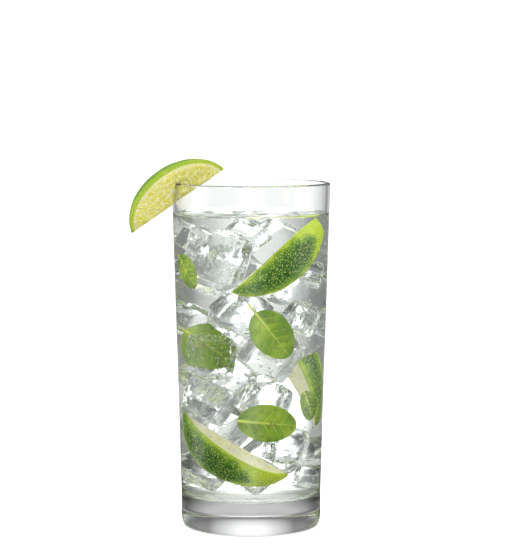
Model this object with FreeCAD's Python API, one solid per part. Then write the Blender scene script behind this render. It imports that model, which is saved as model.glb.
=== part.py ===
"""A highball glass of mojito: the heavy-based tumbler, the drink up to its level, and the lime
wedge that hangs on the rim.

Millimetres, +Z up. The origin is the centre of the face that the tumbler stands on. +X is to the
right and +Y away from whoever faces the glass; the wedge hangs on the -X side of the rim.
"""

import FreeCAD
import Part
import math
import os

# ---- The tumbler's driving dimensions -------------------------------------------------------
TUMBLER_HEIGHT = 152.0
RIM_OUTER_R = 35.0
BASE_OUTER_R = 31.0
BASE_THICKNESS = 13.6  # solid glass under the drink, at the axis
FLARE_START_Z = 15.0  # below this the outside is a plain cylinder
RIM_WALL = 1.7  # wall just under the rim's bead
FOOT_WALL = 2.6  # wall just above the inner floor's fillet
FLOOR_FILLET_R = 4.0  # inside corner between floor and wall
HEEL_WIDTH = 1.1  # the heel's elliptical rounding, radial
HEEL_HEIGHT = 6.0  # and axial

# ---- The drink ------------------------------------------------------------------------------
DRINK_TO_RIM = 14.0  # free glass above the level
MENISCUS_WIDTH = 2.2  # the drink climbs the wall by this much, in this width
MENISCUS_HEIGHT = 0.9

# ---- The lime that the wedge is cut from ----------------------------------------------------
LIME_HALF_LENGTH = 25.0
LIME_R = 18.6
WEDGE_ANGLE = 60.0  # between the two cut faces
CORE_OFFSET = 2.0  # the cut faces meet this far from the lime's axis, towards the peel
CORE_TRIM = 0.7  # the sharp edge where they meet is trimmed by this much

# ---- How the wedge hangs on the rim ---------------------------------------------------------
WEDGE_SLOPE = 34.0  # the long axis rises towards the glass's middle by this angle
WEDGE_LEAN = 5.5  # the peel leans away from +Z, towards +Y, about the long axis
WEDGE_TURN = 12.0  # the outer tip is turned towards -Y, so that the slit crosses the wedge squarely
WEDGE_SHIFT = 3.6  # the core's middle is this far inside the rim's outer edge
WEDGE_DROP = 8.4  # this far below the rim
WEDGE_FORWARD = 9.0  # and this far towards -Y

# ---- The slit that is cut into the flesh ----------------------------------------------------
SLIT_CLEARANCE = 0.15  # round the wall and over the rim

RIM_BEAD_R = RIM_WALL / 2
RIM_CENTRE_Z = TUMBLER_HEIGHT - RIM_BEAD_R
RIM_INNER_R = RIM_OUTER_R - RIM_WALL
FLOOR_WALL_R = BASE_OUTER_R - FOOT_WALL
DRINK_LEVEL = TUMBLER_HEIGHT - DRINK_TO_RIM


def at(radius, z):
    """A point of a turned profile."""
    return FreeCAD.Vector(radius, 0, z)


def line(a, b):
    return Part.LineSegment(a, b).toShape()


def turned(edges):
    """The solid that a closed profile makes when it turns about Z."""
    profile = Part.Face(Part.Wire(edges))
    return profile.revolve(at(0, 0), FreeCAD.Vector(0, 0, 1), 360)


def fillet_centre():
    """Centre of the round corner between the inner floor and the wall."""
    return at(FLOOR_WALL_R - FLOOR_FILLET_R, BASE_THICKNESS + FLOOR_FILLET_R)


def flare():
    """The inside wall's angle from upright, in radians: it is tangent to the round corner."""
    run = RIM_INNER_R - fillet_centre().x
    rise = RIM_CENTRE_Z - fillet_centre().z
    return math.atan2(run, rise) - math.asin(FLOOR_FILLET_R / math.hypot(run, rise))


def bore_foot():
    """Where the round corner ends and the straight inside wall starts."""
    across = FLOOR_FILLET_R * math.cos(flare())
    down = FLOOR_FILLET_R * math.sin(flare())
    return fillet_centre() + at(across, -down)


def bore_radius(z):
    """Radius of the straight inside wall at height z."""
    return RIM_INNER_R - (RIM_CENTRE_Z - z) * math.tan(flare())


def floor_edges():
    """The inner floor and its round corner, up to where the straight wall starts."""
    centre = fillet_centre()
    half_turn = (math.pi / 2 - flare()) / 2
    middle = centre + at(FLOOR_FILLET_R * math.sin(half_turn), -FLOOR_FILLET_R * math.cos(half_turn))
    corner = Part.Arc(at(centre.x, BASE_THICKNESS), middle, bore_foot()).toShape()
    return [line(at(0, BASE_THICKNESS), at(centre.x, BASE_THICKNESS)), corner]


def heel_edge():
    """The quarter ellipse between the flat face that the glass stands on and its side."""
    centre = at(BASE_OUTER_R - HEEL_WIDTH, HEEL_HEIGHT)
    ellipse = Part.Ellipse(at(centre.x, 0), at(BASE_OUTER_R, HEEL_HEIGHT), centre)
    side = ellipse.parameter(at(BASE_OUTER_R, HEEL_HEIGHT))
    foot = ellipse.parameter(at(centre.x, 0))
    if side < foot:
        side += 2 * math.pi
    return Part.Edge(ellipse, foot, side)


def make_tumbler():
    """The glass, turned in one piece with its heavy base, flared wall and rounded rim."""
    foot_r = BASE_OUTER_R - HEEL_WIDTH
    edges = [
        line(at(0, 0), at(foot_r, 0)),
        heel_edge(),
        line(at(BASE_OUTER_R, HEEL_HEIGHT), at(BASE_OUTER_R, FLARE_START_Z)),
        line(at(BASE_OUTER_R, FLARE_START_Z), at(RIM_OUTER_R, RIM_CENTRE_Z)),
        Part.Arc(
            at(RIM_OUTER_R, RIM_CENTRE_Z),
            at(RIM_OUTER_R - RIM_BEAD_R, TUMBLER_HEIGHT),
            at(RIM_INNER_R, RIM_CENTRE_Z),
        ).toShape(),
        line(at(RIM_INNER_R, RIM_CENTRE_Z), bore_foot()),
        *reversed(floor_edges()),
        line(at(0, BASE_THICKNESS), at(0, 0)),
    ]
    return turned(edges)


def make_drink():
    """The drink: it fills the bore to its level and climbs the wall in a meniscus."""
    edge_z = DRINK_LEVEL + MENISCUS_HEIGHT
    edge_r = bore_radius(edge_z)
    flat_r = edge_r - MENISCUS_WIDTH
    sag = at(flat_r + MENISCUS_WIDTH * 0.6, DRINK_LEVEL + MENISCUS_HEIGHT * 0.25)
    edges = [
        *floor_edges(),
        line(bore_foot(), at(edge_r, edge_z)),
        Part.Arc(at(edge_r, edge_z), sag, at(flat_r, DRINK_LEVEL)).toShape(),
        line(at(flat_r, DRINK_LEVEL), at(0, DRINK_LEVEL)),
        line(at(0, DRINK_LEVEL), at(0, BASE_THICKNESS)),
    ]
    return turned(edges)


def lime_body():
    """The whole lime, long axis on X, its middle where the wedge's trimmed edge comes through."""
    end = FreeCAD.Vector(LIME_HALF_LENGTH, 0, 0)
    side = FreeCAD.Vector(0, 0, LIME_R)
    ellipse = Part.Ellipse(end, side, FreeCAD.Vector(0, 0, 0))
    half = [Part.Edge(ellipse, 0, math.pi), line(-end, end)]
    body = Part.Face(Part.Wire(half)).revolve(FreeCAD.Vector(0, 0, 0), FreeCAD.Vector(1, 0, 0), 360)
    body.translate(FreeCAD.Vector(0, 0, -CORE_OFFSET))
    return body


def wedge_prism():
    """The long prism between the two cut faces, opening towards +Z, trimmed along its edge."""
    reach = LIME_R * 2
    half_angle = math.radians(WEDGE_ANGLE / 2)
    trim_half = CORE_TRIM * math.tan(half_angle)
    reach_half = reach * math.tan(half_angle)
    start = -LIME_HALF_LENGTH * 1.2
    corners = [(-trim_half, CORE_TRIM), (-reach_half, reach), (reach_half, reach), (trim_half, CORE_TRIM)]
    points = [FreeCAD.Vector(start, y, z) for y, z in corners]
    profile = Part.Face(Part.makePolygon([*points, points[0]]))
    return profile.extrude(FreeCAD.Vector(-2 * start, 0, 0))


def rim_slot():
    """The wall and rim with the slit's clearance round them."""
    inner_top = RIM_INNER_R - SLIT_CLEARANCE
    outer_top = RIM_OUTER_R + SLIT_CLEARANCE
    top_z = TUMBLER_HEIGHT + SLIT_CLEARANCE
    bottom_z = DRINK_LEVEL - LIME_HALF_LENGTH
    share = (bottom_z - FLARE_START_Z) / (RIM_CENTRE_Z - FLARE_START_Z)
    outer_foot = BASE_OUTER_R + (RIM_OUTER_R - BASE_OUTER_R) * share + SLIT_CLEARANCE
    inner_foot = bore_radius(bottom_z) - SLIT_CLEARANCE
    points = [
        at(inner_foot, bottom_z),
        at(outer_foot, bottom_z),
        at(outer_top, RIM_CENTRE_Z),
        at(outer_top, top_z),
        at(inner_top, top_z),
        at(inner_top, RIM_CENTRE_Z),
    ]
    return turned([line(a, b) for a, b in zip(points, points[1:] + points[:1])])


def make_wedge():
    """The lime wedge, slit from its trimmed edge so that it sits astride the rim."""
    core = FreeCAD.Vector(0, 0, 0)
    wedge = lime_body().common(wedge_prism())
    wedge.rotate(core, FreeCAD.Vector(1, 0, 0), -WEDGE_LEAN)
    wedge.rotate(core, FreeCAD.Vector(0, 1, 0), -WEDGE_SLOPE)
    wedge.rotate(core, FreeCAD.Vector(0, 0, 1), WEDGE_TURN)
    wedge.translate(FreeCAD.Vector(WEDGE_SHIFT - RIM_OUTER_R, -WEDGE_FORWARD, TUMBLER_HEIGHT - WEDGE_DROP))
    return wedge.cut(rim_slot())


def write(name, shape):
    """Checks that a piece is one sound solid and writes its STEP file."""
    solids = shape.Solids
    if len(solids) != 1 or not solids[0].isValid():
        raise ValueError(f"{name} isn't one sound solid: {len(solids)} solids")
    solids[0].exportStep(os.path.join("parts", name + ".step"))
    box = solids[0].BoundBox
    print(f"{name}: {solids[0].Volume / 1000:.1f} cm3, z {box.ZMin:.2f} to {box.ZMax:.2f}")


os.makedirs("parts", exist_ok=True)
write("tumbler", make_tumbler())
write("drink", make_drink())
write("rim_lime_wedge", make_wedge())
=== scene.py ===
"""A highball glass of mojito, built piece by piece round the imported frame.

Blender's units are metres; sizes are written in millimetres and multiplied by MM.
"""

import bpy
import math
import random
from mathutils import Matrix, Vector, noise


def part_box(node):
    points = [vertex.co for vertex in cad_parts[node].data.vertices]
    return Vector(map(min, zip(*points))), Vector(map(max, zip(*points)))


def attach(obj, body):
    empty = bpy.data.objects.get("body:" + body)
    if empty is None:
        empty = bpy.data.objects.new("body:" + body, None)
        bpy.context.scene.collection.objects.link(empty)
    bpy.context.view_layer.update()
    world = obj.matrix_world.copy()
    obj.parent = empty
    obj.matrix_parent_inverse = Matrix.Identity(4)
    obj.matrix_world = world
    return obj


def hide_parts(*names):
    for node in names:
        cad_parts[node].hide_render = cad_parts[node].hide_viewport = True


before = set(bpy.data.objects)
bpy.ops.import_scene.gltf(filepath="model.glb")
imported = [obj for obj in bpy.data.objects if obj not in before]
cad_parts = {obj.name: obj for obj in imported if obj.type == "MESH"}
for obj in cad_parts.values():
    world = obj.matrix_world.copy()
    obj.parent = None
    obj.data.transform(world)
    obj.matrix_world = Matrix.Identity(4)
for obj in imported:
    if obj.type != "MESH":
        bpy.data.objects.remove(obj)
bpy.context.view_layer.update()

# ---- Tumbler ----------------------------------------------------------------------------------
# A highball glass with a heavy base, turned out of one gather of clear soda-lime glass. The wall
# flares a little to a fire-polished rim, and the base's outer corner is a long soft heel.

MM = 0.001
TURN_SIDES = 192

_, tumbler_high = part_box("tumbler")
drink_low, drink_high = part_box("drink")
TUMBLER_HEIGHT = tumbler_high.z
RIM_R = tumbler_high.x
BASE_R = 31.0 * MM
FLARE_START_Z = 15.0 * MM
RIM_WALL = 1.7 * MM
FOOT_WALL = 2.6 * MM
FLOOR_FILLET_R = 4.0 * MM
HEEL_WIDTH = 1.1 * MM
HEEL_HEIGHT = 6.0 * MM
FLOOR_Z = drink_low.z

rim_bead_r = RIM_WALL / 2
rim_centre_z = TUMBLER_HEIGHT - rim_bead_r
bore_top_r = RIM_R - RIM_WALL
fillet_r = BASE_R - FOOT_WALL - FLOOR_FILLET_R
fillet_z = FLOOR_Z + FLOOR_FILLET_R
bore_run = bore_top_r - fillet_r
bore_rise = rim_centre_z - fillet_z
bore_reach = math.hypot(bore_run, bore_rise)
bore_flare = math.atan2(bore_run, bore_rise) - math.asin(FLOOR_FILLET_R / bore_reach)


def bore_radius(z):
    """Radius of the straight inside wall at height z."""
    return bore_top_r - (rim_centre_z - z) * math.tan(bore_flare)


def arc(centre_r, centre_z, radius_r, radius_z, start, end, steps):
    """Rings along an ellipse's arc, from one angle to another in degrees, first ring left out."""
    angles = [math.radians(start + (end - start) * i / steps) for i in range(1, steps + 1)]
    return [(centre_r + radius_r * math.cos(a), centre_z + radius_z * math.sin(a)) for a in angles]


def new_piece(add_primitive, name, **settings):
    """Adds a primitive with nothing else selected, and names it."""
    bpy.ops.object.select_all(action="DESELECT")
    add_primitive(**settings)
    piece = bpy.context.active_object
    piece.name = name
    piece.data.name = name
    return piece


def turn_rings(name, rings, sides=TURN_SIDES):
    """A turned solid: a disc drawn out ring by ring, as on a lathe, and closed at its last ring."""
    radius, z = rings[0]
    piece = new_piece(
        bpy.ops.mesh.primitive_circle_add,
        name,
        vertices=sides,
        radius=radius,
        fill_type="NGON",
        location=(0, 0, z),
    )
    bpy.ops.object.transform_apply()
    bpy.ops.object.mode_set(mode="EDIT")
    bpy.ops.mesh.select_all(action="SELECT")
    for next_radius, next_z in rings[1:]:
        bpy.ops.mesh.extrude_region_move(TRANSFORM_OT_translate={"value": (0, 0, next_z - z)})
        share = next_radius / radius
        bpy.ops.transform.resize(value=(share, share, 1), center_override=(0, 0, next_z))
        radius, z = next_radius, next_z
    bpy.ops.mesh.select_all(action="SELECT")
    bpy.ops.mesh.normals_make_consistent(inside=False)
    bpy.ops.object.mode_set(mode="OBJECT")
    bpy.ops.object.shade_smooth()
    return piece


def linear(hex_colour):
    """An sRGB hex colour as linear RGBA."""
    parts = [int(hex_colour[i : i + 2], 16) / 255 for i in (1, 3, 5)]
    parts = [c / 12.92 if c <= 0.04045 else ((c + 0.055) / 1.055) ** 2.4 for c in parts]
    return (*parts, 1.0)


def new_material(name, **inputs):
    """A material with a Principled shader, whose plain inputs are given by name."""
    material = bpy.data.materials.new(name)
    material.use_nodes = True
    shader = material.node_tree.nodes["Principled BSDF"]
    for key, value in inputs.items():
        shader.inputs[key.replace("_", " ")].default_value = value
    return material, material.node_tree, shader


def add(tree, kind, inputs=None, stops=None, **settings):
    """Adds a shader node. An input is a value, or the output socket that it is linked from."""
    node = tree.nodes.new("ShaderNode" + kind)
    for key, value in settings.items():
        setattr(node, key, value)
    for key, value in (inputs or {}).items():
        if isinstance(value, bpy.types.NodeSocket):
            tree.links.new(value, node.inputs[key])
        else:
            node.inputs[key].default_value = value
    for i, (position, colour) in enumerate(stops or []):
        elements = node.color_ramp.elements
        element = elements[i] if i < 2 else elements.new(position)
        element.position = position
        element.color = linear(colour)
    return node


def straight(start, end):
    """Rings along a straight wall, close together at its ends so that it is shaded flat."""
    (r0, z0), (r1, z1) = start, end
    near = 0.25 * MM / math.hypot(r1 - r0, z1 - z0)
    shares = [near, 2 * near, 0.3, 0.7, 1 - 2 * near, 1 - near, 1]
    return [(r0 + (r1 - r0) * share, z0 + (z1 - z0) * share) for share in shares]


flare_angle = math.degrees(bore_flare)
[bore_foot] = arc(fillet_r, fillet_z, FLOOR_FILLET_R, FLOOR_FILLET_R, 0, -flare_angle, 1)
foot_r = BASE_R - HEEL_WIDTH
tumbler_rings = [
    (foot_r - 3 * MM, 0.0),
    *straight((foot_r - 3 * MM, 0.0), (foot_r, 0.0)),
    *arc(foot_r, HEEL_HEIGHT, HEEL_WIDTH, HEEL_HEIGHT, -90, 0, 16),
    *straight((BASE_R, HEEL_HEIGHT), (BASE_R, FLARE_START_Z)),
    *straight((BASE_R, FLARE_START_Z), (RIM_R, rim_centre_z)),
    *arc(RIM_R - rim_bead_r, rim_centre_z, rim_bead_r, rim_bead_r, 0, 180, 16),
    *straight((bore_top_r, rim_centre_z), bore_foot),
    *arc(fillet_r, fillet_z, FLOOR_FILLET_R, FLOOR_FILLET_R, -flare_angle, -90, 12),
    *straight((fillet_r, FLOOR_Z), (fillet_r - 3 * MM, FLOOR_Z)),
]

# Clear soda-lime glass, blown and fire-polished: colourless, smooth, with bright hard reflections.
glass, _, _ = new_material(
    "clear_soda_lime_glass",
    Base_Color=linear("#fdfefe"),
    Roughness=0.0,
    IOR=1.5,
    Transmission_Weight=1.0,
)

tumbler = turn_rings("tumbler_glass", tumbler_rings)
tumbler.data.materials.append(glass)
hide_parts("tumbler")
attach(tumbler, "root")

# ---- Drink ------------------------------------------------------------------------------------
# Soda, white rum and lime juice: clear, up to its level, climbing the wall in a meniscus. It
# reaches a little way into the wall, so that no air shows between it and the glass.

INTO_WALL = 0.25 * MM
MENISCUS_WIDTH = 2.2 * MM
MENISCUS_HEIGHT = 0.9 * MM
RIPPLE = 0.7 * MM
edge_z = drink_high.z
level_z = edge_z - MENISCUS_HEIGHT
surface_r = bore_radius(edge_z) - MENISCUS_WIDTH
edge_r = bore_radius(edge_z)
round_r = FLOOR_FILLET_R + INTO_WALL
[round_foot] = arc(fillet_r, fillet_z, round_r, round_r, 0, -flare_angle, 1)
drink_rings = [
    (fillet_r - 3 * MM, FLOOR_Z - INTO_WALL),
    *straight((fillet_r - 3 * MM, FLOOR_Z - INTO_WALL), (fillet_r, FLOOR_Z - INTO_WALL)),
    *arc(fillet_r, fillet_z, round_r, round_r, -90, -flare_angle, 12),
    *straight(round_foot, (edge_r + INTO_WALL, edge_z)),
    (edge_r, edge_z),
    *[
        (edge_r - MENISCUS_WIDTH * i / 8, level_z + MENISCUS_HEIGHT * (1 - i / 8) ** 2)
        for i in range(1, 9)
    ],
    *[(surface_r * (1 - i / 30), level_z) for i in range(1, 30)],
]
drink = turn_rings("mojito_drink", drink_rings)
for vertex in drink.data.vertices:
    from_wall = surface_r - math.hypot(vertex.co.x, vertex.co.y)
    if vertex.co.z > level_z - 0.01 * MM and from_wall > 0:
        swell = noise.noise(vertex.co / (8 * MM)) + 0.4 * noise.noise(vertex.co / (3 * MM))
        vertex.co.z += RIPPLE * swell * min(1, from_wall / (5 * MM))
mojito, _, _ = new_material(
    "clear_mojito",
    Base_Color=linear("#fbfdf9"),
    Roughness=0.0,
    IOR=1.333,
    Transmission_Weight=1.0,
    Specular_Tint=linear("#000000"),
)
drink.data.materials.append(mojito)
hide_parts("drink")
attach(drink, "root")

# ---- Lime wedge on the rim --------------------------------------------------------------------
# A sixth of a small lime, cut lengthways: waxy pored rind, a thin pale pith, and juice sacs that
# fan out from the core. It is slit across its core edge and pushed down over the rim.

LIME_HALF_LENGTH = 25.0 * MM
LIME_R = 18.6 * MM
CORE_OFFSET = 2.0 * MM
CORE_TRIM = 0.7 * MM
RIND_AND_PITH = 1.9 * MM


def cut_wedge(name, angle, turn, stalk_end=1.0):
    """A lime wedge: long axis on X, core edge on the origin, peel towards +Z. The share of its
    half length that is left at the stalk's end, on +X, is given."""
    wedge = new_piece(
        bpy.ops.mesh.primitive_uv_sphere_add,
        name,
        segments=96,
        ring_count=64,
        radius=1,
        rotation=(0, math.pi / 2, 0),
    )
    bpy.ops.object.transform_apply()
    bpy.ops.object.mode_set(mode="EDIT")
    bpy.ops.mesh.select_all(action="SELECT")
    centre = (0, 0, 0)
    bpy.ops.transform.resize(value=(LIME_HALF_LENGTH, LIME_R, LIME_R), center_override=centre)
    bpy.ops.object.mode_set(mode="OBJECT")
    lumps = wedge.modifiers.new("lumps", "DISPLACE")
    lumps.texture = bpy.data.textures.new("lumps", "CLOUDS")
    lumps.texture.noise_scale = 8 * MM
    lumps.strength = 0.5 * MM
    bpy.ops.object.modifier_apply(modifier="lumps")
    bpy.ops.object.mode_set(mode="EDIT")
    bpy.ops.mesh.select_all(action="SELECT")
    bpy.ops.transform.rotate(value=turn, orient_axis="X", center_override=centre)
    bpy.ops.transform.translate(value=(0, 0, -CORE_OFFSET))
    half = math.radians(angle / 2)
    cuts = [
        (centre, (0, math.cos(half), -math.sin(half))),
        (centre, (0, -math.cos(half), -math.sin(half))),
        ((0, 0, CORE_TRIM), (0, 0, -1)),
    ]
    if stalk_end < 1:
        cuts.append(((stalk_end * LIME_HALF_LENGTH, 0, 0), (1, 0, -0.25)))
    for point, normal in cuts:
        bpy.ops.mesh.select_all(action="SELECT")
        bpy.ops.mesh.bisect(plane_co=point, plane_no=normal, use_fill=True, clear_outer=True)
    bpy.ops.mesh.select_all(action="DESELECT")
    bpy.ops.mesh.select_mode(type="EDGE")
    bpy.ops.mesh.edges_select_sharp(sharpness=math.radians(30))
    bpy.ops.mesh.bevel(offset=0.3 * MM, segments=2)
    bpy.ops.mesh.select_mode(type="VERT")
    bpy.ops.object.mode_set(mode="OBJECT")
    bpy.ops.object.shade_smooth_by_angle(angle=math.radians(32))
    return wedge


def laid_between(start, end, facing):
    """A frame half way from start to end, in millimetres: X along them, Z towards facing."""
    start, end = Vector(start) * MM, Vector(end) * MM
    along = (end - start).normalized()
    across = Vector(facing).cross(along).normalized()
    turn = Matrix((along, across, along.cross(across))).transposed().to_4x4()
    return Matrix.Translation((start + end) / 2) @ turn


def keep_place(piece, placed, angle):
    """Keeps, for the lime's pattern, each vertex's place in the lime's own frame and how far it
    is from the nearer cut, in millimetres."""
    back = placed.inverted()
    half = math.radians(angle / 2)
    piece.data.attributes.new("lime_place", "FLOAT_VECTOR", "POINT")
    piece.data.attributes.new("from_cut", "FLOAT", "POINT")
    places = piece.data.attributes["lime_place"].data
    gaps = piece.data.attributes["from_cut"].data
    for vertex, place, gap in zip(piece.data.vertices, places, gaps):
        x, y, z = back @ vertex.co / MM
        place.vector = (x, y, z)
        gap.value = z * math.sin(half) - abs(y) * math.cos(half)


def copies(name, pattern, frames):
    """One joined mesh with a copy of the pattern's mesh in each frame."""
    corners = [v.co.copy() for v in pattern.data.vertices]
    polygons = [tuple(p.vertices) for p in pattern.data.polygons]
    bpy.data.objects.remove(pattern)
    places, faces = [], []
    for copy_frame in frames:
        first = len(places)
        places.extend(copy_frame @ corner for corner in corners)
        faces.extend(tuple(first + i for i in polygon) for polygon in polygons)
    mesh = bpy.data.meshes.new(name)
    mesh.from_pydata(places, [], faces)
    mesh.polygons.foreach_set("use_smooth", [True] * len(mesh.polygons))
    piece = bpy.data.objects.new(name, mesh)
    bpy.context.scene.collection.objects.link(piece)
    return piece


def juice_sacs(name, angle, seed, placed, clear=lambda place: True, stalk_end=0.88):
    """Juice sacs half sunk in both cut faces: fat towards the peel, thin towards the core."""
    dice = random.Random(seed)
    sphere = bpy.ops.mesh.primitive_uv_sphere_add
    sac = new_piece(sphere, name, segments=8, ring_count=6, radius=0.5)
    for vertex in sac.data.vertices:
        if vertex.co.z < -0.1:
            vertex.co = vertex.co * Vector((0.6, 0.6, 1.0))
    half = math.radians(angle / 2)
    frames = []
    for side in (-1, 1):
        up = Vector((0, side * math.sin(half), math.cos(half)))
        out = Vector((0, side * math.cos(half), -math.sin(half)))
        x = -0.9 * LIME_HALF_LENGTH
        while x < (stalk_end - 0.02) * LIME_HALF_LENGTH:
            x += dice.uniform(0.65, 0.9) * MM
            peel = LIME_R * math.sqrt(1 - (x / LIME_HALF_LENGTH) ** 2) - 0.9 * CORE_OFFSET
            top = peel - RIND_AND_PITH + dice.uniform(-0.3, 0.15) * MM
            if top < 2.5 * MM:
                continue
            start = Vector((x, 0, 0)) + up * top
            down = (Vector((0.3 * x, 0, 0)) - up * 2 * MM - start).normalized()
            gone = 0.0
            while True:
                height = (start + down * gone).dot(up)
                room = (height - CORE_TRIM - 0.5 * MM) / -down.dot(up)
                if room < 1.4 * MM:
                    break
                length = min(room, dice.uniform(2.6, 4.8) * MM)
                width = dice.uniform(0.9, 1.2) * MM * (0.6 + 0.4 * height / peel)
                middle = start + down * (gone + length / 2)
                middle -= out * (width / 2 - dice.uniform(0.12, 0.34) * MM)
                gone += length * dice.uniform(0.62, 0.8)
                if clear(placed @ middle):
                    turn = (-down).to_track_quat("Z", "Y").to_matrix().to_4x4()
                    size = Matrix.Diagonal((width, width, length, 1))
                    frames.append(placed @ Matrix.Translation(middle) @ turn @ size)
    piece = copies(name, sac, frames)
    keep_place(piece, placed, angle)
    return piece


def lime_skin(name, greens, pulps, ior, lit_at_both_ends=True):
    """Lime from the peel inwards: waxy green rind with oil pores, pale pith, wet pulp. The rind is
    painted paler towards both ends, or towards the stalk's end alone, as painted light."""
    material, tree, shader = new_material(name, Roughness=0.32, IOR=ior)
    place = add(tree, "Attribute", attribute_name="lime_place").outputs["Vector"]
    centred = add(tree, "VectorMath", {0: place, 1: (0, 0, CORE_OFFSET / MM)}, operation="ADD")
    axes = (LIME_HALF_LENGTH / MM, LIME_R / MM, LIME_R / MM)
    shares = add(tree, "VectorMath", {0: centred.outputs[0], 1: axes}, operation="DIVIDE")
    reach = add(tree, "VectorMath", {0: shares.outputs[0]}, operation="LENGTH").outputs["Value"]
    r = LIME_R / MM
    depth = add(tree, "Math", {0: reach, 1: -r, 2: r}, operation="MULTIPLY_ADD").outputs[0]
    ragged = add(tree, "TexNoise", {"Vector": place, "Scale": 0.9, "Detail": 3.0}).outputs["Fac"]
    uneven = add(tree, "Math", {0: ragged, 1: 0.8, 2: -0.4}, operation="MULTIPLY_ADD").outputs[0]
    under = add(tree, "Math", {0: depth, 1: uneven}, operation="ADD").outputs[0]
    # painted shade and light: the rind is painted darkest half way between the cuts, and paler
    # towards them and the lime's ends, with random blotches in its tone
    edge = add(tree, "Attribute", attribute_name="from_cut").outputs["Fac"]
    blotch = add(tree, "TexNoise", {"Vector": place, "Scale": 0.16, "Detail": 2.0}).outputs["Fac"]
    shift = add(tree, "Math", {0: blotch, 1: 6.0, 2: -3.0}, operation="MULTIPLY_ADD").outputs[0]
    blotched_cut_shade = add(tree, "Math", {0: edge, 1: shift}, operation="ADD").outputs[0]
    long_place = add(tree, "SeparateXYZ", {0: place}).outputs["X"]
    # painted light: paler rind towards the stalk's end, or towards both ends
    end_highlight = add(tree, "MapRange", {0: long_place, 1: 6.0, 2: 20.0, 3: 0.0, 4: 8.0}).outputs[0]
    if lit_at_both_ends:
        end = add(tree, "Math", {0: long_place}, operation="ABSOLUTE").outputs[0]
        end_highlight = add(tree, "MapRange", {0: end, 1: 14.0, 2: 25.0, 3: 0.0, 4: 5.0}).outputs[0]
    painted_shade_depth = add(tree, "Math", {0: blotched_cut_shade, 1: end_highlight}, operation="SUBTRACT").outputs[0]
    share = add(tree, "MapRange", {0: painted_shade_depth, 1: -0.5, 2: 5.2}).outputs[0]
    pale, mid, dark = greens
    green = add(tree, "ValToRGB", {0: share}, stops=[(0.0, pale), (1.0, dark), (0.45, mid)])
    pores = add(tree, "TexVoronoi", {"Vector": place, "Scale": 1.15, "Randomness": 0.9})
    pore = pores.outputs["Distance"]
    speck = add(tree, "MapRange", {0: pore, 1: 0.14, 2: 0.42, 3: 0.85, 4: 0.0}).outputs[0]
    rind = add(tree, "MixRGB", {0: speck, 1: green.outputs[0], 2: linear("#d6e86c")}).outputs[0]
    # the cut face: bright oily rind, pale pith, then pulp streaked from the peel to the core
    long_way = add(tree, "Mapping", {0: place, "Scale": (0.9, 0.9, 0.16)}).outputs[0]
    streak = add(tree, "TexNoise", {"Vector": long_way, "Scale": 1.0, "Detail": 3.0}).outputs["Fac"]
    deep_juice, juice, light_juice = pulps
    stops = [(0.3, deep_juice), (0.7, light_juice), (0.5, juice)]
    pulp = add(tree, "ValToRGB", {0: streak}, stops=stops).outputs[0]
    within = add(tree, "MapRange", {0: under, 1: 0.0, 2: 2.5}).outputs[0]
    layers = [(0.0, "#a2c432"), (1.0, "#f4f0c8"), (0.3, "#c8dc46"), (0.5, "#e2e87c")]
    layers.append((0.62, "#f6f6d6"))
    cut = add(tree, "ValToRGB", {0: within}, stops=layers).outputs[0]
    inner = add(tree, "MapRange", {0: under, 1: 1.7, 2: 2.2}).outputs[0]
    face = add(tree, "MixRGB", {0: inner, 1: cut, 2: pulp}).outputs[0]
    inside = add(tree, "MapRange", {0: depth, 1: 0.32, 2: 0.5}).outputs[0]
    colour = add(tree, "MixRGB", {0: inside, 1: rind, 2: face}).outputs[0]
    tree.links.new(colour, shader.inputs["Base Color"])
    dents = add(tree, "MapRange", {0: pore, 1: 0.0, 2: 0.45}).outputs[0]
    relief = add(tree, "MixRGB", {0: inside, 1: dents, 2: streak}).outputs[0]
    bump = add(tree, "Bump", {"Height": relief, "Strength": 0.5, "Distance": 0.3 * MM})
    tree.links.new(bump.outputs[0], shader.inputs["Normal"])
    return material


def sac_skin(name, pulps, ior):
    """Wet juice sacs: thin clear skins full of yellow-green juice, glossy where they are cut."""
    material, tree, shader = new_material(name, Roughness=0.1, IOR=ior)
    place = add(tree, "Attribute", attribute_name="lime_place").outputs["Vector"]
    cloudy = add(tree, "TexNoise", {"Vector": place, "Scale": 0.7, "Detail": 3.0}).outputs["Fac"]
    deep_juice, juice, light_juice = pulps
    stops = [(0.36, deep_juice), (0.64, light_juice), (0.5, juice)]
    colour = add(tree, "ValToRGB", {0: cloudy}, stops=stops).outputs[0]
    tree.links.new(colour, shader.inputs["Base Color"])
    return material


WEDGE_ANGLE = 60
lime_pulps = ("#eae45c", "#f8f28a", "#fffdd4")
lime = lime_skin("fresh_lime", ("#b0cc38", "#96c030", "#74a63c"), lime_pulps, 1.45)
hung = (
    Matrix.Translation((3.6 * MM - RIM_R, -9.0 * MM, TUMBLER_HEIGHT - 8.4 * MM))
    @ Matrix.Rotation(math.radians(12), 4, "Z")
    @ Matrix.Rotation(math.radians(-34), 4, "Y")
    @ Matrix.Rotation(math.radians(-5.5), 4, "X")
)


def clear_of_rim(at):
    """Whether a place is clear of the glass that sits in the wedge's slit."""
    reach = math.hypot(at.x, at.y)
    in_wall = bore_radius(at.z) - 0.9 * MM < reach < RIM_R + 0.7 * MM
    return not in_wall or at.z > TUMBLER_HEIGHT + 0.8 * MM


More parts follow.
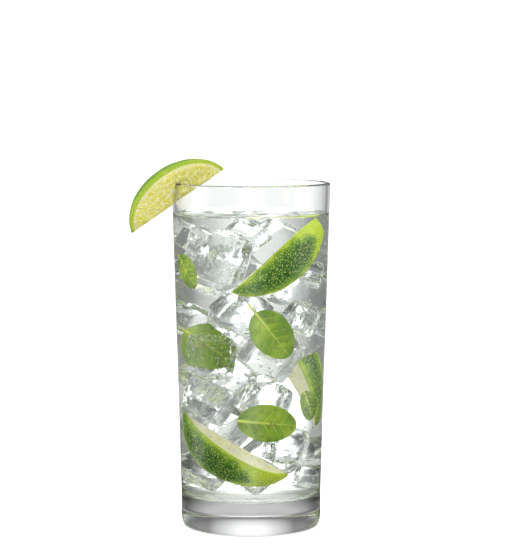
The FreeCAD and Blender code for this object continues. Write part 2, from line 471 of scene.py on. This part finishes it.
rim_wedge = cut_wedge("rim_wedge", WEDGE_ANGLE, 0.0)
rim_wedge.data.transform(hung)
SLIT = 0.12 * MM
slot_rings = [
    (RIM_R * 0.97 + SLIT, TUMBLER_HEIGHT - 26 * MM),
    (RIM_R + SLIT, rim_centre_z),
    (RIM_R + SLIT, TUMBLER_HEIGHT + SLIT),
    (bore_top_r - SLIT, TUMBLER_HEIGHT + SLIT),
    (bore_top_r - SLIT, rim_centre_z),
    (bore_radius(TUMBLER_HEIGHT - 26 * MM) - SLIT, TUMBLER_HEIGHT - 26 * MM),
]
slot = turn_rings("slot", slot_rings)
slit = rim_wedge.modifiers.new("slit", "BOOLEAN")
slit.operation = "DIFFERENCE"
slit.object = slot
bpy.context.view_layer.objects.active = rim_wedge
bpy.ops.object.modifier_apply(modifier="slit")
bpy.data.objects.remove(slot)
keep_place(rim_wedge, hung, WEDGE_ANGLE)
rim_wedge.data.materials.append(lime)
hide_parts("rim_lime_wedge")
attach(rim_wedge, "root")

rim_sacs = juice_sacs("rim_wedge_juice_sacs", WEDGE_ANGLE, 4, hung, clear_of_rim)
rim_sacs.data.materials.append(sac_skin("wet_juice_sacs", lime_pulps, 1.38))
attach(rim_sacs, "root")

# ---- Lime wedges in the drink -----------------------------------------------------------------
# Three more wedges of the same lime, sunk among the ice against the glass: one lies under the
# surface, one low down, and the third is half a wedge long and stands at the right-hand wall.

# Under the drink the lime's wax and juice barely shine, hence the lower IORs. Its rind greens are
# painted darker, as painted shade, and its pulp and juice sacs paler, as painted light.
lit_sunk_pulps = ("#f6eca4", "#fffad0", "#fffff4")
shaded_sunk_greens = ("#b4c838", "#648c28", "#36601e")
sunk_lime = lime_skin("sunk_lime", shaded_sunk_greens, lit_sunk_pulps, 1.1, lit_at_both_ends=False)
sunk_sacs = sac_skin("sunk_juice_sacs", lit_sunk_pulps, 1.08)
sunk_wedges = [
    ("lime_wedge_high", (-5, -18.8, 108.2), (22.8, -3, 134.6), (0.56, -0.81, -0.12), 62, 0.78, 1.3),
    ("lime_wedge_right", (21.9, 1.4, 44), (1.9, 1.4, 88), (0.8, -0.6, 0.3), 42, 0.08, 2.9),
    ("lime_wedge_low", (-24.1, -5.4, 50.5), (12.5, -12, 26.2), (-0.4, -0.68, -0.61), 66, 1.0, 4.4),
]
peels = []
for name, start, end, peel, angle, stalk_end, turn in sunk_wedges:
    placed = laid_between(start, end, peel)
    wedge = cut_wedge(name, angle, turn, stalk_end)
    wedge.data.transform(placed)
    keep_place(wedge, placed, angle)
    wedge.data.materials.append(sunk_lime)
    sacs = juice_sacs(name + "_juice_sacs", angle, turn, placed, stalk_end=min(stalk_end, 0.88))
    sacs.data.materials.append(sunk_sacs)
    for piece in (wedge, sacs):
        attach(piece, "root")
    peels.append(wedge)

# ---- Mint -------------------------------------------------------------------------------------
# Spearmint leaves pulled off the stalk: oval, thin, puckered between the side veins, with a pale
# raised midrib that runs on into a short stalk.

LEAF_THICKNESS = 0.3 * MM


def mint_leaf(name, stem, tip, facing, width, cup, stalk):
    """A leaf from its stalk's end to its tip, in millimetres, with its top side towards facing."""
    placed = laid_between(stem, tip, facing)
    length = (Vector(tip) - Vector(stem)).length
    leaf = new_piece(
        bpy.ops.mesh.primitive_grid_add, name, x_subdivisions=110, y_subdivisions=60, size=2
    )
    veins = leaf.data.attributes.new("vein", "FLOAT", "POINT")
    for vertex, vein in zip(leaf.data.vertices, veins.data):
        along = (vertex.co.x + 1) / 2
        blade = max(0.0, (along - stalk) / (1 - stalk))
        teeth = 1 + 0.018 * abs(math.sin(blade * 26))
        wide = width / 2 * max(math.sin(math.pi * blade**0.94), 0.0) ** 0.5 * teeth
        half_width = max(wide, 0.5 * (1 - along) + 0.05)
        y = vertex.co.y * half_width
        midrib = math.exp(-((y / (0.6 - 0.46 * along)) ** 2)) * (1 - 0.6 * along)
        spacing = 0.14 * length
        place = (blade * length - 0.8 * abs(y) ** 0.9) / spacing
        from_vein = abs(place - round(place)) * spacing
        fade = 1 - min(1, abs(vertex.co.y) * 1.15) ** 2 if 0.3 < place < 6.6 else 0
        side_vein = math.exp(-((from_vein / 0.22) ** 2)) * fade
        groove = math.exp(-((from_vein / 0.9) ** 2)) * fade
        vein.value = max(midrib, 0.42 * side_vein)
        lift = cup * (2 * y / width) ** 2 - 1.1 * (2 * along - 1) ** 2
        z = lift - 0.4 * groove + 0.3 * midrib
        vertex.co = Vector(((along - 0.5) * length, y, z)) * MM
    thickness = leaf.modifiers.new("thickness", "SOLIDIFY")
    thickness.thickness = LEAF_THICKNESS
    bpy.ops.object.modifier_apply(modifier="thickness")
    bpy.ops.object.shade_smooth()
    leaf.data.transform(placed)
    return leaf


# Fresh mint: soft satin green, a little light coming through, veins a pale yellow-green.
mint, mint_tree, mint_shader = new_material(
    "fresh_mint",
    Roughness=0.42,
    IOR=1.12,
    Subsurface_Weight=0.2,
    Subsurface_Scale=0.6 * MM,
)
mint_place = add(mint_tree, "TexCoord").outputs["Object"]
mint_size = {"Vector": mint_place, "Scale": 1 / (9 * MM), "Detail": 3.0}
mint_patches = add(mint_tree, "TexNoise", mint_size).outputs["Fac"]
mint_greens = [(0.35, "#6a8c28"), (0.68, "#a2bc42"), (0.5, "#80a030")]
mint_green = add(mint_tree, "ValToRGB", {0: mint_patches}, stops=mint_greens).outputs[0]
mint_vein = add(mint_tree, "Attribute", attribute_name="vein").outputs["Fac"]
mint_colour = add(mint_tree, "MixRGB", {0: mint_vein, 1: mint_green, 2: linear("#dbe36e")})
mint_tree.links.new(mint_colour.outputs[0], mint_shader.inputs["Base Color"])
mint_cells = add(mint_tree, "TexVoronoi", {"Vector": mint_place, "Scale": 1 / (0.9 * MM)})
mint_bump = add(
    mint_tree,
    "Bump",
    {"Height": mint_cells.outputs["Distance"], "Strength": 0.25, "Distance": 0.15 * MM},
)
mint_tree.links.new(mint_bump.outputs[0], mint_shader.inputs["Normal"])

leaves = []
mint_leaves = [
    ("mint_leaf_middle", (-0.8, -28.4, 101), (16.2, -25.2, 78), (0.1, -1, 0.1), 16.8, -1.4, 0.16),
    ("mint_leaf_lower", (-5.4, -27.6, 50.5), (19.2, -23.1, 47.5), (0.2, -1, 0.15), 16, 1.2, 0.0),
    ("mint_leaf_left", (-29.6, -7, 121), (-23.4, -19, 107.5), (-0.93, -0.45, 0.1), 11, -1.5, 0.05),
    ("mint_leaf_behind", (-24, 2, 88), (-7, -2, 74), (-0.3, -1, 0.1), 20, 1.5, 0.1),
    ("mint_leaf_right", (21.8, -16.4, 61.5), (25.2, -12.4, 48.5), (0.7, -0.7, 0.1), 9.5, 0.8, 0.0),
]
for name, stem, tip, facing, width, cup, stalk in mint_leaves:
    leaf = mint_leaf(name, stem, tip, facing, width, cup, stalk)
    leaf.data.materials.append(mint)
    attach(leaf, "root")
    leaves.append(leaf)

# ---- Ice --------------------------------------------------------------------------------------
# Cubes from a tray, half melted: soft corners, dented faces. They are packed from the floor up to
# the drink's surface, and are one piece.

ice_cubes = [
    ((-12, -12, 121), 22, (6, 12, 14)),
    ((9, 5, 124), 19, (10, 38, 24)),
    ((-10, 14, 113), 19, (30, 10, 50)),
    ((17, 10, 104), 17, (5, 24, 35)),
    ((-4, -9, 95), 18, (24, 40, 12)),
    ((-15, -11, 76), 17, (4, 6, 8)),
    ((-2, 16, 87), 20, (20, 12, 40)),
    ((8, -14, 78), 19, (12, 30, 20)),
    ((-9, 12, 65), 18, (30, 25, 14)),
    ((17, 6, 84), 13, (10, 50, 18)),
    ((-16, -9, 57), 16, (14, 26, 30)),
    ((6, -15, 57), 15, (16, 8, 36)),
    ((14, -12, 37), 15, (4, 12, 28)),
    ((-10, 14, 44), 17, (22, 16, 44)),
    ((9, 12, 32), 17, (8, 44, 12)),
    ((-14, 8, 24), 13, (34, 20, 10)),
    ((1, -2, 23), 12, (20, 40, 15)),
    ((20, 3, 22), 10, (50, 10, 25)),
    ((-23, 2, 129), 10, (20, 30, 15)),
    ((3, -26, 130), 7, (10, 50, 25)),
    ((19, -9, 93), 12, (30, 15, 60)),
    ((23, -7, 112), 9, (35, 15, 30)),
    ((-19, 11, 91), 12, (15, 35, 50)),
    ((-2, 22, 129), 10, (45, 35, 10)),
]
cubes = []
for number, (middle, size, turns) in enumerate(ice_cubes):
    cube = new_piece(bpy.ops.mesh.primitive_cube_add, "ice_cube", size=size * MM)
    bpy.ops.object.mode_set(mode="EDIT")
    bpy.ops.mesh.select_all(action="SELECT")
    bpy.ops.transform.vertex_random(offset=0.06 * size * MM, seed=number)
    bpy.ops.mesh.bevel(offset=0.14 * size * MM, segments=2)
    bpy.ops.object.mode_set(mode="OBJECT")
    melted = cube.modifiers.new("melted", "SUBSURF")
    melted.levels = melted.render_levels = 3
    bpy.ops.object.modifier_apply(modifier="melted")
    for dent_size, dent_depth in ((12, 2.0), (2.8, 0.85)):
        dents = cube.modifiers.new("dents", "DISPLACE")
        dents.texture = bpy.data.textures.new("dents", "CLOUDS")
        dents.texture.noise_scale = dent_size * MM
        dents.strength = dent_depth * MM
        bpy.ops.object.modifier_apply(modifier="dents")
    bpy.ops.object.shade_smooth()
    turn = Matrix.Rotation(math.radians(turns[2]), 4, "Z")
    for axis, degrees in zip("YX", (turns[1], turns[0])):
        turn = turn @ Matrix.Rotation(math.radians(degrees), 4, axis)
    cube.data.transform(Matrix.Translation(Vector(middle) * MM) @ turn)
    cubes.append(cube)
bpy.ops.object.select_all(action="DESELECT")
for cube in cubes:
    cube.select_set(True)
bpy.context.view_layer.objects.active = cubes[0]
bpy.ops.object.join()
ice = bpy.context.active_object
ice.name = ice.data.name = "ice"
bpy.ops.object.origin_set(type="ORIGIN_CURSOR")

# Clear ice in the drink: it bends light a little more than the drink round it, which draws its
# edges. The IOR is the ratio between the two.
clear_ice, ice_tree, ice_shader = new_material(
    "clear_ice",
    Base_Color=linear("#fafcfd"),
    Roughness=0.0,
    IOR=1.2,
    Transmission_Weight=1.0,
)
# melt water has left fine ripples in its faces
ice_place = add(ice_tree, "TexCoord").outputs["Object"]
ripple_size = {"Vector": ice_place, "Scale": 1 / (2.2 * MM), "Detail": 1.5, "Distortion": 0.6}
melt = add(ice_tree, "TexNoise", ripple_size).outputs["Fac"]
melt_bump = add(ice_tree, "Bump", {"Height": melt, "Strength": 0.35, "Distance": 0.5 * MM})
ice_tree.links.new(melt_bump.outputs[0], ice_shader.inputs["Normal"])
ice.data.materials.append(clear_ice)
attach(ice, "root")

# ---- Bubbles ----------------------------------------------------------------------------------
# Soda's bubbles: small spheres of gas on the glass, the ice, the lime and the mint, and a cloud
# of them frozen into one ice cube.

ON_EACH_LIME = 240
ON_EACH_LEAF = 34
ON_ICE = 1500
ON_GLASS = 260
UNDER_SURFACE = 60
IN_FROZEN_CLOUD = 240
dice = random.Random(11)


def resting_on(piece, count, small, large, keep):
    """Places and diameters, in metres, of bubbles that rest on a piece's faces."""
    faces = [f for f in piece.data.polygons if keep(f.center, f.normal)]
    spots = []
    for face in dice.choices(faces, weights=[f.area for f in faces], k=count):
        size = dice.triangular(small, large, small) * MM
        spots.append((face.center + face.normal * size * 0.42, size))
    return spots


spots = []
for peel in peels:
    spots += resting_on(
        peel, ON_EACH_LIME, 0.3, 0.9, lambda place, normal: place.y < 0 and normal.y < 0.3
    )
for leaf in leaves:
    spots += resting_on(leaf, ON_EACH_LEAF, 0.4, 1.6, lambda place, normal: normal.y < -0.2)
spots += resting_on(ice, ON_ICE, 0.3, 1.5, lambda place, normal: place.y < 6 * MM)
for _ in range(ON_GLASS):
    size = dice.triangular(0.3, 1.5, 0.4) * MM
    around = math.radians(dice.uniform(0, 360))
    height = dice.uniform(FLOOR_Z + 5 * MM, level_z - 3 * MM)
    reach = bore_radius(height) - size * 0.6
    spots.append((Vector((reach * math.cos(around), reach * math.sin(around), height)), size))
for _ in range(UNDER_SURFACE):
    size = dice.triangular(0.3, 1.3, 0.4) * MM
    around = math.radians(dice.uniform(0, 360))
    reach = surface_r * math.sqrt(dice.uniform(0.1, 1))
    height = level_z - size * 0.6
    spots.append((Vector((reach * math.cos(around), reach * math.sin(around), height)), size))
frozen_middle = Vector((-11, -15, 117)) * MM
for _ in range(IN_FROZEN_CLOUD):
    size = dice.triangular(0.25, 0.8, 0.35) * MM
    away = Vector([dice.gauss(0, 1) for _ in range(3)]) * 4 * MM
    if max(abs(c) for c in away) < 9 * MM:
        spots.append((frozen_middle + away, size))

sphere = bpy.ops.mesh.primitive_uv_sphere_add
bubble = new_piece(sphere, "bubble", segments=7, ring_count=5, radius=0.5)
frames = [Matrix.Translation(place) @ Matrix.Diagonal((s, s, s, 1)) for place, s in spots]
bubbles = copies("bubbles", bubble, frames)

# Gas in a drink turns light away from it: a bright middle in a thin dark ring.
gas = bpy.data.materials.new("gas_bubbles")
gas.use_nodes = True
gas_tree = gas.node_tree
gas_tree.nodes.clear()
gas_shell = add(gas_tree, "BsdfGlass", {"Roughness": 0.0, "IOR": 0.75})
add(gas_tree, "OutputMaterial", {"Surface": gas_shell.outputs[0]})
bubbles.data.materials.append(gas)
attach(bubbles, "root")

# ---- Floor, light and camera ------------------------------------------------------------------
# A white backlit table in a white studio. Glass, drink and ice refract and reflect a version of it
# with four grey cards between its lights, so that their edges are drawn from every side.

TABLE_R = 0.6
TABLE_GAP = 0.2 * MM


def studio_light(tree, direction, narrower=1.0, least=0.32):
    """Brightness by direction: white ahead and to the sides, and grey cards between. The white
    can be made narrower, and the cards are never darker than the least share of the way up."""
    xyz = add(tree, "SeparateXYZ", {0: direction})
    x2 = add(tree, "Math", {0: xyz.outputs["X"], 1: 2.0}, operation="POWER").outputs[0]
    y2 = add(tree, "Math", {0: xyz.outputs["Y"], 1: 2.0}, operation="POWER").outputs[0]
    flat = add(tree, "Math", {0: x2, 1: y2}, operation="ADD").outputs[0]
    c2 = add(tree, "Math", {0: y2, 1: flat}, operation="DIVIDE").outputs[0]
    c4 = add(tree, "Math", {0: c2, 1: c2}, operation="MULTIPLY").outputs[0]
    dip = add(tree, "Math", {0: c4, 1: c2}, operation="SUBTRACT").outputs[0]
    lobes = add(tree, "Math", {0: dip, 1: 4.0, 2: 1.0}, operation="MULTIPLY_ADD").outputs[0]
    lobes = add(tree, "Math", {0: lobes, 1: narrower}, operation="POWER").outputs[0]
    lobes = add(tree, "Math", {0: lobes, 1: least}, operation="MAXIMUM").outputs[0]
    greys = [(0.0, "#262626"), (0.95, "#ffffff"), (0.25, "#7c7c7c"), (0.55, "#c0c0c0")]
    greys.append((0.8, "#e4e4e4"))
    card = add(tree, "ValToRGB", {0: lobes}, stops=greys).outputs[0]
    return xyz, card


floor = new_piece(
    bpy.ops.mesh.primitive_circle_add,
    "floor",
    vertices=96,
    radius=TABLE_R,
    fill_type="NGON",
    location=(0, 0, -TABLE_GAP),
)
bpy.ops.object.transform_apply()

# Opal acrylic, lit from below: matt, even white. Grey cards are painted into its colour as painted
# shade, shown to every ray but the camera's: close to the glass the cards are at their narrowest
# and darkest, and under its foot the table is plain.
table, tree, shader = new_material(
    "backlit_acrylic_table",
    Roughness=0.9,
    Emission_Strength=0.3,
)
place = add(tree, "TexCoord").outputs["Object"]
reach = add(tree, "VectorMath", {0: place}, operation="LENGTH").outputs["Value"]
narrower = add(tree, "MapRange", {0: reach, 1: 0.08, 2: 0.3, 3: 5.0, 4: 1.0}).outputs[0]
least = add(tree, "MapRange", {0: reach, 1: 0.12, 2: 0.35, 3: 0.0, 4: 0.3}).outputs[0]
_, card = studio_light(tree, place, narrower, least)
path = add(tree, "LightPath")
# through glass or drink the table is dimmer, and dimmest close behind the clear base
through_glass = {0: path.outputs["Transmission Depth"], 1: 2.5}
through_glass = add(tree, "Math", through_glass, operation="LESS_THAN").outputs[0]
close = add(tree, "MapRange", {0: reach, 1: 0.08, 2: 0.14, 3: 1.0, 4: 0.0}).outputs[0]
behind_base = add(tree, "Math", {0: through_glass, 1: close}, operation="MULTIPLY").outputs[0]
levels = {0: behind_base, 1: linear("#dadada"), 2: linear("#a8a8a8")}
level = add(tree, "MixRGB", levels).outputs[0]
# matt things get the table's full light
level = {0: path.outputs["Diffuse Depth"], 1: level, 2: linear("#ffffff")}
level = add(tree, "MixRGB", level, use_clamp=True).outputs[0]
card = add(tree, "MixRGB", {0: 1.0, 1: card, 2: level}, blend_type="MULTIPLY").outputs[0]
clear_of_foot = {0: reach, 1: 0.026, 2: 0.032}
clear_of_foot = add(tree, "MapRange", clear_of_foot, interpolation_type="SMOOTHSTEP").outputs[0]
shade = add(tree, "MixRGB", {0: clear_of_foot, 1: linear("#e6e6e6"), 2: card}).outputs[0]
seen = path.outputs["Is Camera Ray"]
glow = add(tree, "MixRGB", {0: seen, 1: shade, 2: linear("#ffffff")}).outputs[0]
tree.links.new(glow, shader.inputs["Base Color"])
tree.links.new(glow, shader.inputs["Emission Color"])
floor.data.materials.append(table)

world = bpy.data.worlds.new("studio")
bpy.context.scene.world = world
world.use_nodes = True
tree = world.node_tree
tree.nodes.clear()
path = add(tree, "LightPath")
crossed = path.outputs["Transmission Depth"]
# the cards stand round the horizon, and give way to grey and then white further up and down
xyz, card = studio_light(tree, add(tree, "TexCoord").outputs["Generated"])
height = add(tree, "Math", {0: xyz.outputs["Z"]}, operation="ABSOLUTE").outputs[0]
heights = [(0.3, "#3e3e3e"), (0.85, "#ffffff")]
high = add(tree, "ValToRGB", {0: height}, stops=heights).outputs[0]
steep = {0: height, 1: 0.2, 2: 0.5}
steep = add(tree, "MapRange", steep, interpolation_type="SMOOTHSTEP").outputs[0]
patterned = add(tree, "MixRGB", {0: steep, 1: card, 2: high}).outputs[0]
# ice shows it a little dimmer, reflections much dimmer, and the glass's rounded rim dimmer too
deep = add(tree, "Math", {0: crossed, 1: 4.5}, operation="GREATER_THAN").outputs[0]
strength = {0: deep, 1: -0.15, 2: 1.1}
strength = add(tree, "Math", strength, operation="MULTIPLY_ADD").outputs[0]
reflected = add(tree, "Math", {0: crossed, 1: 0.5}, operation="LESS_THAN").outputs[0]
strength = {0: reflected, 1: -0.7, 2: strength}
strength = add(tree, "Math", strength, operation="MULTIPLY_ADD").outputs[0]
glass_only = add(tree, "Math", {0: crossed, 1: 4.5}, operation="LESS_THAN").outputs[0]
rounded = add(tree, "Math", {0: glass_only, 1: steep}, operation="MULTIPLY").outputs[0]
strength = {0: rounded, 1: -0.6, 2: strength}
strength = add(tree, "Math", strength, operation="MULTIPLY_ADD").outputs[0]
strength = add(tree, "Math", {0: strength, 1: 0.1}, operation="MAXIMUM").outputs[0]
through = add(tree, "Background", {"Color": patterned, "Strength": strength}).outputs[0]
# matt things get an even white light, strong enough to reach what lies deep in the drink
power = {0: deep, 1: 2.4, 2: 1.44}
power = add(tree, "Math", power, operation="MULTIPLY_ADD").outputs[0]
plain = add(tree, "Background", {"Color": (1, 1, 1, 1), "Strength": power}).outputs[0]
matt = {0: path.outputs["Diffuse Depth"], 1: 0.5}
matt = add(tree, "Math", matt, operation="GREATER_THAN").outputs[0]
even = {0: path.outputs["Is Camera Ray"], 1: matt}
even = add(tree, "Math", even, operation="MAXIMUM").outputs[0]
light = add(tree, "MixShader", {0: even, 1: through, 2: plain}).outputs[0]
add(tree, "OutputWorld", {"Surface": light})

CAMERA_SIDE = 0.0009
CAMERA_DISTANCE = 0.9027
CAMERA_HEIGHT = 0.1967
CAMERA_PITCH = 5.427
CAMERA_LENS = 134.0
bpy.ops.object.camera_add(
    location=(CAMERA_SIDE, -CAMERA_DISTANCE, CAMERA_HEIGHT),
    rotation=(math.radians(90 - CAMERA_PITCH), 0, 0),
)
camera = bpy.context.active_object
camera.name = "camera"
camera.data.lens = CAMERA_LENS
camera.data.sensor_width = 36
bpy.context.scene.camera = camera
bpy.context.scene.view_settings.view_transform = "Standard"

# Light crosses many faces on its way through glass, drink, ice and bubbles.
CROSSINGS = 32
cycles = bpy.context.scene.cycles
cycles.max_bounces = CROSSINGS
cycles.transmission_bounces = CROSSINGS
cycles.glossy_bounces = CROSSINGS
cycles.diffuse_bounces = 4
cycles.caustics_refractive = True
cycles.caustics_reflective = True
